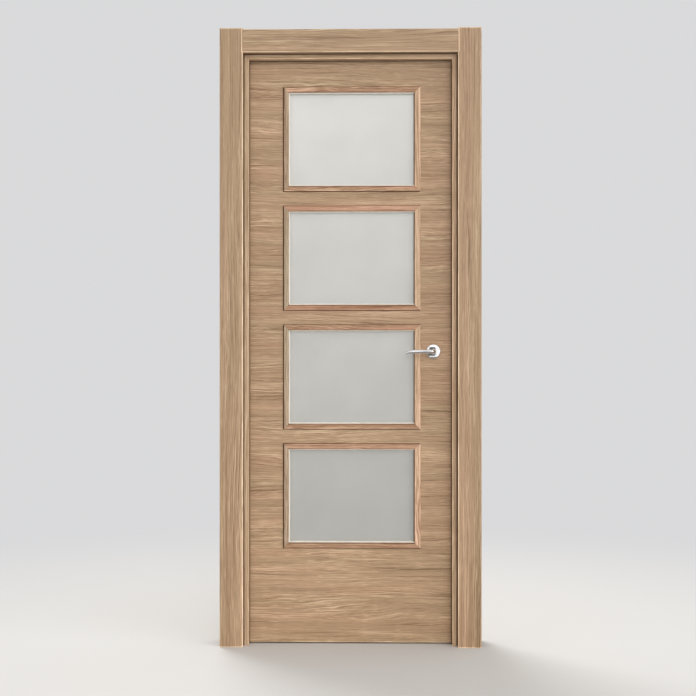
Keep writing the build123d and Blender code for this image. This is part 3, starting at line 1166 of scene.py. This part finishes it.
@dataclass
class Leaf:
    """Core and veneered faces of the leaf."""

    grid: LightGrid
    veneer: OakFinish = OakFinish(
        "oak_leaf_veneer", Grain.LEVEL, end_share=0.14,
        # Painted light: the veneer is paler towards the foot.
        foot_pale=(1.13, 1.14, 1.15), foot_rise=(0.10, 1.40),
    )
    edge: OakFinish = OakFinish("oak_leaf_edge", Grain.UPRIGHT)

    def dress(self) -> None:
        """Finish the faces across the leaf, and the edges of the stiles up it."""
        rails = ("top_rail", "upper_cross_rail", "middle_cross_rail", "lower_cross_rail", "bottom_rail")
        # A faint painted highlight line along the bottom edge of the skins.
        veneer = replace(self.veneer, ends=(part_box("front_skin")[0].z,))
        dress(veneer.material(self.grid), *(f"{face}_skin" for face in FACES), *rails)
        dress(self.edge.material(self.grid), "hinge_stile", "lock_stile")


@dataclass
class Glazing:
    """Panes, bead frames and the soft strips between them."""

    grid: LightGrid
    bead: OakFinish = OakFinish(
        "oak_bead", Grain.BEADED, tone=(0.415, 0.267, 0.166), blush=(0.436, 0.255, 0.160),
        knots=0.5, contrast=1.1, sheen=0.12,
        # Painted light and shade by side: the right sticks lighter and the left ones greyer, the top ones a
        # little lighter and the bottom ones a little darker; painted highlights along the right sticks' outer
        # and inner edges and the bottom sticks' outer edge; painted shade along the inner edge of the top and
        # bottom sticks; a painted shadow outline round the outer edge on the left, above and below.
        bead_light_and_shade=(
            PaintedBeadLight((0.91, 1.08, 1.16), 0.0, 0.05, BySide(left=1.0)),
            PaintedBeadLight((1.40, 1.50, 1.60), 0.0, 0.05, BySide(right=1.0)),
            PaintedBeadLight((1.09, 1.04, 1.06), 0.0, 0.05, BySide(above=1.0)),
            PaintedBeadLight((0.94, 0.89, 0.87), 0.0, 0.05, BySide(below=1.0)),
            PaintedBeadLight((1.22, 1.26, 1.28), 0.0005, 0.0042, BySide(right=0.4)),
            PaintedBeadLight((1.22, 1.26, 1.28), 0.0028, 0.0060, BySide(below=1.0)),
            PaintedBeadLight((1.22, 1.26, 1.28), 0.0150, 0.0200, BySide(right=0.5)),
            PaintedBeadLight((0.34, 0.27, 0.20), 0.0168, 0.05, BySide(above=0.35, below=0.6)),
            PaintedBeadLight((0.18, 0.075, 0.020), 0.0, 0.0034, BySide(left=0.95)),
            PaintedBeadLight((0.18, 0.075, 0.020), 0.0, 0.0014, BySide(above=0.80, below=0.90)),
        ),
    )
    glass: FrostedGlassFinish = FrostedGlassFinish()
    # The strips on the right of each light take painted shade.
    strip: SoftFinish = SoftFinish("glazing_silicone", (0.90, 0.85, 0.76), 0.5, painted_shade_sides=BySide(right=0.95))
    bead_width: float = 0.020
    strip_nose: float = 0.0034
    strip_depth: float = 0.0140
    rear_strip_depth: float = 0.0040
    strip_round: float = 0.0032

    def dress(self) -> None:
        """Finish the beads and panes."""
        numbers = range(1, LIGHT_COUNT + 1)
        dress(self.bead.material(self.grid), *(f"{face}_bead_frame_{n}" for face in FACES for n in numbers))
        dress(self.glass.material(), *(f"glass_{n}" for n in numbers))

    def build(self) -> None:
        """Run a glazing strip round both faces of every pane."""
        material = self.strip.material(self.grid)
        for number in range(1, LIGHT_COUNT + 1):
            for face in FACES:
                strip = self.model_strip(number, face)
                Workbench.finish(strip, material, LEAF_BODY)

    def model_strip(self, number: int, face: str) -> bpy.types.Object:
        """Model one glazing strip: a thin frame on the glass with its inner edge rounded.

        Args:
            number: The light, counted from the top.
            face: The face of the leaf.

        Returns:
            The strip.
        """
        low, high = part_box(f"{face}_bead_frame_{number}")
        glass_low, glass_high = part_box(f"glass_{number}")
        outwards, glass_y, depth = -1.0, glass_low.y, self.strip_depth
        if face == "rear":
            outwards, glass_y, depth = 1.0, glass_high.y, self.rear_strip_depth
        middle = (low + high) / 2
        width = high.x - low.x - 2 * self.bead_width
        height = high.z - low.z - 2 * self.bead_width
        strip = Workbench.open_frame(
            f"{face}_glazing_strip_{number}", (middle.x, glass_y, middle.z), (width, height),
            -outwards * math.pi / 2, self.strip_nose, depth,
        )
        top = glass_y + outwards * depth
        with Workbench.editing(strip):
            Workbench.pick_edges(lambda a, b: self.is_nose(a, middle, width, height, top)
                                 and self.is_nose(b, middle, width, height, top))
            bpy.ops.mesh.bevel(offset=self.strip_round, segments=3, affect="EDGES")
            Workbench.point_outwards()
        return strip

    def is_nose(self, corner: Vector, middle: Vector, width: float, height: float, top: float) -> bool:
        """Whether a corner lies on the strip's inner edge, away from the glass."""
        inner = max(abs(corner.x - middle.x) - width / 2, abs(corner.z - middle.z) - height / 2)
        return inner < -self.strip_nose / 2 and abs(corner.y - top) < self.rear_strip_depth / 4


@dataclass
class Hardware:
    """Hinges, latch and strike plate, with their countersunk screws."""

    steel: MetalFinish = MetalFinish("satin_nickel", (0.60, 0.59, 0.57), 0.30, 0.10, 0.12)
    screw_steel: MetalFinish = MetalFinish("screw_steel", (0.66, 0.65, 0.64), 0.24, 0.10)
    head_radius: float = 0.0038
    shank_radius: float = 0.0020
    head_depth: float = 0.0018
    shank_length: float = 0.0006
    head_rim: float = 0.0005
    head_sink: float = 0.0002
    slot_width: float = 0.0009
    slot_length: float = 0.0044
    slot_depth: float = 0.0012
    slot_taper: float = 0.55
    screw_sides: int = 32
    hinge_screws: int = 4
    hinge_margin: float = 0.014
    hinge_stagger: float = 0.005

    def dress(self) -> None:
        """Finish the plates and knuckles."""
        halves = [f"{hinge}_hinge_{half}_half" for hinge in HINGES for half in ("frame", "leaf")]
        dress(self.steel.material(), *halves, "latch", "strike_plate")

    def build(self) -> None:
        """Fit the screws of every plate."""
        material = self.screw_steel.material()
        pattern = self.model_screw()
        jamb_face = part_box("hinge_jamb")[1].x
        leaf_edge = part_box("hinge_stile")[0].x
        for hinge in HINGES:
            for half, face, towards, body in (
                ("frame", jamb_face, 1, FRAME_BODY), ("leaf", leaf_edge, -1, LEAF_BODY),
            ):
                places = self.hinge_places(f"{hinge}_hinge_{half}_half", face)
                self.fit(pattern, places, towards, f"{hinge}_hinge_{half}_screws", body, material)
        for node, towards, body in (("latch", 1, LEAF_BODY), ("strike_plate", -1, FRAME_BODY)):
            self.fit(pattern, self.plate_places(node, towards), towards, f"{node}_screws", body, material)
        bpy.data.objects.remove(pattern)

    def model_screw(self) -> bpy.types.Object:
        """Model one countersunk screw head with a cross recess, facing +Z at the origin.

        Returns:
            The screw.
        """
        Workbench.deselect_all()
        bpy.ops.mesh.primitive_cylinder_add(
            vertices=self.screw_sides, radius=self.head_radius, depth=self.head_depth,
            location=(0.0, 0.0, -self.head_sink - self.head_depth / 2),
        )
        screw = bpy.context.object
        Workbench.apply_place(screw)
        taper = self.shank_radius / self.head_radius
        with Workbench.editing(screw):
            Workbench.pick_faces(lambda middle, normal: normal.z < -FACING)
            bpy.ops.transform.resize(value=(taper, taper, 1.0), center_override=(0.0, 0.0, 0.0))
            shank = {"value": (0.0, 0.0, -self.shank_length)}
            bpy.ops.mesh.extrude_region_move(TRANSFORM_OT_translate=shank)
            Workbench.pick_faces(lambda middle, normal: normal.z > FACING)
            bpy.ops.mesh.inset(thickness=self.head_rim)
            bpy.ops.transform.translate(value=(0.0, 0.0, self.head_sink))
        for turn in (0.0, math.pi / 2):
            Workbench.deselect_all()
            bpy.ops.mesh.primitive_cube_add(size=1.0, rotation=(0.0, 0.0, turn))
            cutter = bpy.context.object
            cutter.scale = (self.slot_length, self.slot_width, 2 * self.slot_depth)
            Workbench.apply_place(cutter)
            with Workbench.editing(cutter):
                Workbench.pick_faces(lambda middle, normal: normal.z < -FACING)
                narrowed = (self.slot_taper, self.slot_taper, 1.0)
                bpy.ops.transform.resize(value=narrowed, center_override=(0.0, 0.0, 0.0))
            Workbench.cut(screw, cutter)
        return screw

    def hinge_places(self, node: str, face: float) -> List[Vector]:
        """Places of one hinge plate's screws, staggered either side of its middle line.

        Args:
            node: The hinge half.
            face: The plate's open face along X.

        Returns:
            The screws' places, from the lowest up.
        """
        low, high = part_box(node)
        middle = (low.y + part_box("rear_skin")[1].y) / 2
        spacing = (high.z - low.z - 2 * self.hinge_margin) / (self.hinge_screws - 1)
        places = []
        for number in range(self.hinge_screws):
            shift = self.hinge_stagger if number % 2 else -self.hinge_stagger
            places.append(Vector((face, middle + shift, low.z + self.hinge_margin + number * spacing)))
        return places

    def plate_places(self, node: str, towards: int) -> List[Vector]:
        """Places of a round-ended plate's two screws, in the middles of its ends.

        Args:
            node: The latch or the strike plate.
            towards: The way that its open face looks along X.

        Returns:
            The two places.
        """
        low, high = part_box(node)
        latch_low, latch_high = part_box("latch")
        end = (latch_high.y - latch_low.y) / 2
        face = high.x if towards > 0 else low.x
        middle = (latch_low.y + latch_high.y) / 2
        return [Vector((face, middle, low.z + end)), Vector((face, middle, high.z - end))]

    @staticmethod
    def fit(
        pattern: bpy.types.Object,
        places: Sequence[Vector],
        towards: int,
        name: str,
        body: str,
        material: bpy.types.Material,
    ) -> None:
        """Copy the screw into its holes.

        Args:
            pattern: The modelled screw.
            places: The middles of the holes, on the plate's open face.
            towards: The way that the face looks along X.
            name: The joined piece's name.
            body: The body that it moves with.
            material: Its finish.
        """
        Workbench.select(pattern)
        bpy.ops.object.duplicate(linked=False)
        turned = bpy.context.object
        turned.rotation_euler = (0.0, towards * math.pi / 2, 0.0)
        Workbench.apply_place(turned)
        screws = Workbench.copies(turned, places, name)
        bpy.data.objects.remove(turned)
        Workbench.finish(screws, material, body, "hinge_steel")


@dataclass
class LeverHandles:
    """Roses, levers and spindle."""

    chrome: MetalFinish = MetalFinish("polished_chrome", (0.86, 0.86, 0.86), 0.06, 0.05)
    grub_steel: MetalFinish = MetalFinish("grub_screw_steel", (0.20, 0.20, 0.21), 0.36, 0.12)
    grub_radius: float = 0.0018
    grub_length: float = 0.0026
    grub_stand: float = 0.017
    grub_sink: float = 0.0005
    grub_round: float = 0.0003
    key_radius: float = 0.0010
    key_depth: float = 0.0012
    stem_radius: float = 0.007
    sides: int = 32

    def dress(self) -> None:
        """Finish both handles."""
        pieces = [f"{face}_{piece}" for face in FACES for piece in ("rose", "lever")]
        dress(self.chrome.material(), *pieces, "spindle")

    def build(self) -> None:
        """Fit a grub screw under each lever's stem."""
        material = self.grub_steel.material()
        pattern = self.model_grub_screw()
        spindle_low, spindle_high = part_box("spindle")
        axis = (spindle_low + spindle_high) / 2
        screw_z = axis.z - self.stem_radius + self.grub_sink
        front_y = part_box("front_skin")[0].y - self.grub_stand
        rear_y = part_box("rear_skin")[1].y + self.grub_stand
        for face, screw_y in zip(FACES, (front_y, rear_y)):
            place = Vector((axis.x, screw_y, screw_z))
            screw = Workbench.copies(pattern, [place], f"{face}_lever_grub_screw")
            Workbench.finish(screw, material, HANDLE_BODY, "handle_chrome")
        bpy.data.objects.remove(pattern)

    def model_grub_screw(self) -> bpy.types.Object:
        """Model one grub screw with a six-sided key socket in its end, facing -Z at the origin.

        Returns:
            The screw.
        """
        Workbench.deselect_all()
        bpy.ops.mesh.primitive_cylinder_add(
            vertices=self.sides, radius=self.grub_radius, depth=self.grub_length,
            location=(0.0, 0.0, self.grub_length / 2),
        )
        screw = bpy.context.object
        Workbench.apply_place(screw)
        with Workbench.editing(screw):
            Workbench.pick_edges(lambda a, b: max(a.z, b.z) < self.grub_length / 4)
            bpy.ops.mesh.bevel(offset=self.grub_round, segments=2, affect="EDGES")
        Workbench.deselect_all()
        bpy.ops.mesh.primitive_cylinder_add(vertices=6, radius=self.key_radius, depth=2 * self.key_depth)
        cutter = bpy.context.object
        Workbench.apply_place(cutter)
        Workbench.cut(screw, cutter)
        return screw


@dataclass(frozen=True)
class Lamp:
    """One wide soft lamp, far enough off to light the whole door evenly."""

    name: str
    azimuth: float
    elevation: float
    spread: float
    level: float
    least_facing: float = 0.2

    def hang(self) -> None:
        """Put the lamp in the scene, at a level given as its share of a plain white on the door's face."""
        turn = math.radians(self.azimuth)
        rise = math.radians(self.elevation)
        level_part = math.cos(rise)
        towards_lamp = Vector((math.sin(turn) * level_part, -math.cos(turn) * level_part, math.sin(rise)))
        light = bpy.data.lights.new(self.name, "SUN")
        light.angle = math.radians(self.spread)
        light.energy = math.pi * self.level / max(abs(towards_lamp.y), self.least_facing)
        lamp = bpy.data.objects.new(self.name, light)
        lamp.rotation_euler = towards_lamp.to_track_quat("Z", "Y").to_euler()
        bpy.context.scene.collection.objects.link(lamp)


class SeenIn(Enum):
    """What a studio card shows in. The camera never sees one."""

    METAL = "metal"
    GLASS = "glass"


@dataclass(frozen=True)
class Card:
    """A card beside the camera's view that shows only in polished metal, or only through glass."""

    name: str
    seen_in: SeenIn
    place: Place
    size: Tuple[float, float]
    foot_glow: float
    head_glow: float

    def stand(self) -> None:
        """Stand the card upright, facing along Y, its glow rising from its foot to its head."""
        Workbench.deselect_all()
        bpy.ops.mesh.primitive_plane_add(size=1.0, location=self.place, rotation=(math.pi / 2, 0.0, 0.0))
        card = bpy.context.object
        card.name = self.name
        card.scale = (*self.size, 1.0)
        Workbench.apply_place(card)
        recipe = MaterialRecipe(self.name)
        height = recipe.place().output("Z")
        foot = self.place[2] - self.size[1] / 2
        share = (height - foot) * (1 / self.size[1])
        glow = share * (self.head_glow - self.foot_glow) + self.foot_glow
        emission = recipe.node("ShaderNodeEmission", inputs={"Strength": glow})
        card.data.materials.append(recipe.close(emission))
        card.visible_camera = False
        card.visible_diffuse = False
        card.visible_shadow = False
        card.visible_glossy = self.seen_in is SeenIn.METAL
        card.visible_transmission = self.seen_in is SeenIn.GLASS


@dataclass
class Studio:
    """Plain floor, soft lamps, pale surroundings and the camera."""

    backdrop: Colour = (0.70, 0.70, 0.71)
    floor_tone: Colour = (0.64, 0.636, 0.63)
    ambient: float = 0.75
    ambient_tone: Colour = (1.0, 0.965, 0.915)
    floor_radius: float = 40.0
    floor_sides: int = 96
    floor_middle: Tuple[float, float] = (0.39, 0.0)
    floor_fade: Range = (0.6, 3.2)
    camera_place: Place = (0.4666, -4.5932, 1.0260)
    camera_turn: float = 0.0178
    camera_lens: float = 68.46
    camera_sensor: float = 36.0
    camera_reach: float = 200.0
    lamps: Sequence[Lamp] = (
        Lamp("key", 12.0, 17.0, 10.0, 0.15),
        Lamp("side", 46.0, 18.0, 60.0, 0.25),
        Lamp("rear", 205.0, 35.0, 40.0, 0.55),
    )
    cards: Sequence[Card] = (
        Card("card_front", SeenIn.METAL, (0.93, -5.4, 1.10), (3.4, 3.0), 1.10, 1.35),
        Card("card_middle", SeenIn.METAL, (0.80, -5.3, 1.02), (1.30, 1.30), 0.42, 0.62),
        Card("card_bar_high", SeenIn.METAL, (0.71, -5.2, 1.60), (1.05, 0.38), 0.10, 0.12),
        Card("card_bar_low", SeenIn.METAL, (0.56, -5.2, 0.45), (1.30, 0.50), 0.14, 0.16),
        Card("card_low", SeenIn.METAL, (0.4, -1.3, 0.38), (5.0, 0.76), 0.26, 0.30),
        Card("card_foot", SeenIn.METAL, (0.4, -0.35, 0.40), (5.0, 0.80), 0.24, 0.24),
        Card("card_top", SeenIn.METAL, (0.7, -1.5, 2.45), (4.0, 2.20), 1.00, 1.00),
        Card("card_left", SeenIn.METAL, (-1.9, -2.4, 1.3), (1.4, 2.6), 0.02, 0.04),
        Card("card_right", SeenIn.METAL, (2.1, -2.9, 1.3), (0.35, 2.6), 0.02, 0.04),
        Card("card_behind", SeenIn.GLASS, (0.4, 0.9, 1.1), (5.0, 3.0), 0.08, 1.13),
    )

    def build(self) -> None:
        """Set everything up."""
        self.lay_floor()
        self.paint_surroundings()
        for lamp in self.lamps:
            lamp.hang()
        for card in self.cards:
            card.stand()
        self.place_camera()

    def lay_floor(self) -> None:
        """Lay a wide pale floor that melts into the surroundings far from the door."""
        Workbench.deselect_all()
        bpy.ops.mesh.primitive_circle_add(
            vertices=self.floor_sides, radius=self.floor_radius, fill_type="NGON",
        )
        floor = bpy.context.object
        floor.name = "studio_floor"
        recipe = MaterialRecipe("studio_floor")
        x = recipe.place()
        side, away = x - self.floor_middle[0], x.output("Y") - self.floor_middle[1]
        distance = (side * side + away * away).math("SQRT")
        near = recipe.node("ShaderNodeBsdfDiffuse", inputs={"Color": opaque(self.floor_tone)})
        far = recipe.node("ShaderNodeEmission", inputs={"Color": opaque(self.backdrop)})
        share = distance.ramp(*self.floor_fade)
        blend = recipe.node("ShaderNodeMixShader", inputs={0: share, 1: near, 2: far})
        floor.data.materials.append(recipe.close(blend))

    def paint_surroundings(self) -> None:
        """Show the pale backdrop to the camera, metal and glass, and give everything else soft light."""
        world = bpy.data.worlds.new("studio")
        world.use_nodes = True
        bpy.context.scene.world = world
        recipe = Recipe(world.node_tree)
        camera = recipe.node("ShaderNodeLightPath", output="Is Camera Ray")
        seen = camera.math("MAXIMUM", camera.output("Is Glossy Ray"))
        seen = seen.math("MAXIMUM", camera.output("Is Transmission Ray"))
        shown = recipe.node("ShaderNodeBackground", inputs={"Color": opaque(self.backdrop)})
        light = recipe.node(
            "ShaderNodeBackground", inputs={"Strength": self.ambient, "Color": opaque(self.ambient_tone)},
        )
        both = recipe.node("ShaderNodeMixShader", inputs={0: seen, 1: light, 2: shown})
        recipe.node("ShaderNodeOutputWorld", inputs={"Surface": both})

    def place_camera(self) -> None:
        """Stand the camera level, about as high as the handle, in front of the door."""
        view = bpy.data.cameras.new("camera")
        view.lens = self.camera_lens
        view.sensor_width = self.camera_sensor
        view.clip_end = self.camera_reach
        camera = bpy.data.objects.new("camera", view)
        camera.location = self.camera_place
        camera.rotation_euler = (math.pi / 2, 0.0, self.camera_turn)
        bpy.context.scene.collection.objects.link(camera)
        bpy.context.scene.camera = camera


def main() -> None:
    """Build and dress the door set, then set up the studio."""
    logging.basicConfig(level=logging.INFO, format="%(message)s")
    bpy.context.scene.view_settings.view_transform = "Standard"
    Workbench.deselect_all()
    grid = LightGrid.from_frame()
    door_frame = DoorFrame(grid)
    door_frame.dress()
    door_frame.build()
    Leaf(grid).dress()
    glazing = Glazing(grid)
    glazing.dress()
    glazing.build()
    hardware = Hardware()
    hardware.dress()
    hardware.build()
    handles = LeverHandles()
    handles.dress()
    handles.build()
    Studio().build()
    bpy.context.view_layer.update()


if __name__ == "__main__":
    main()
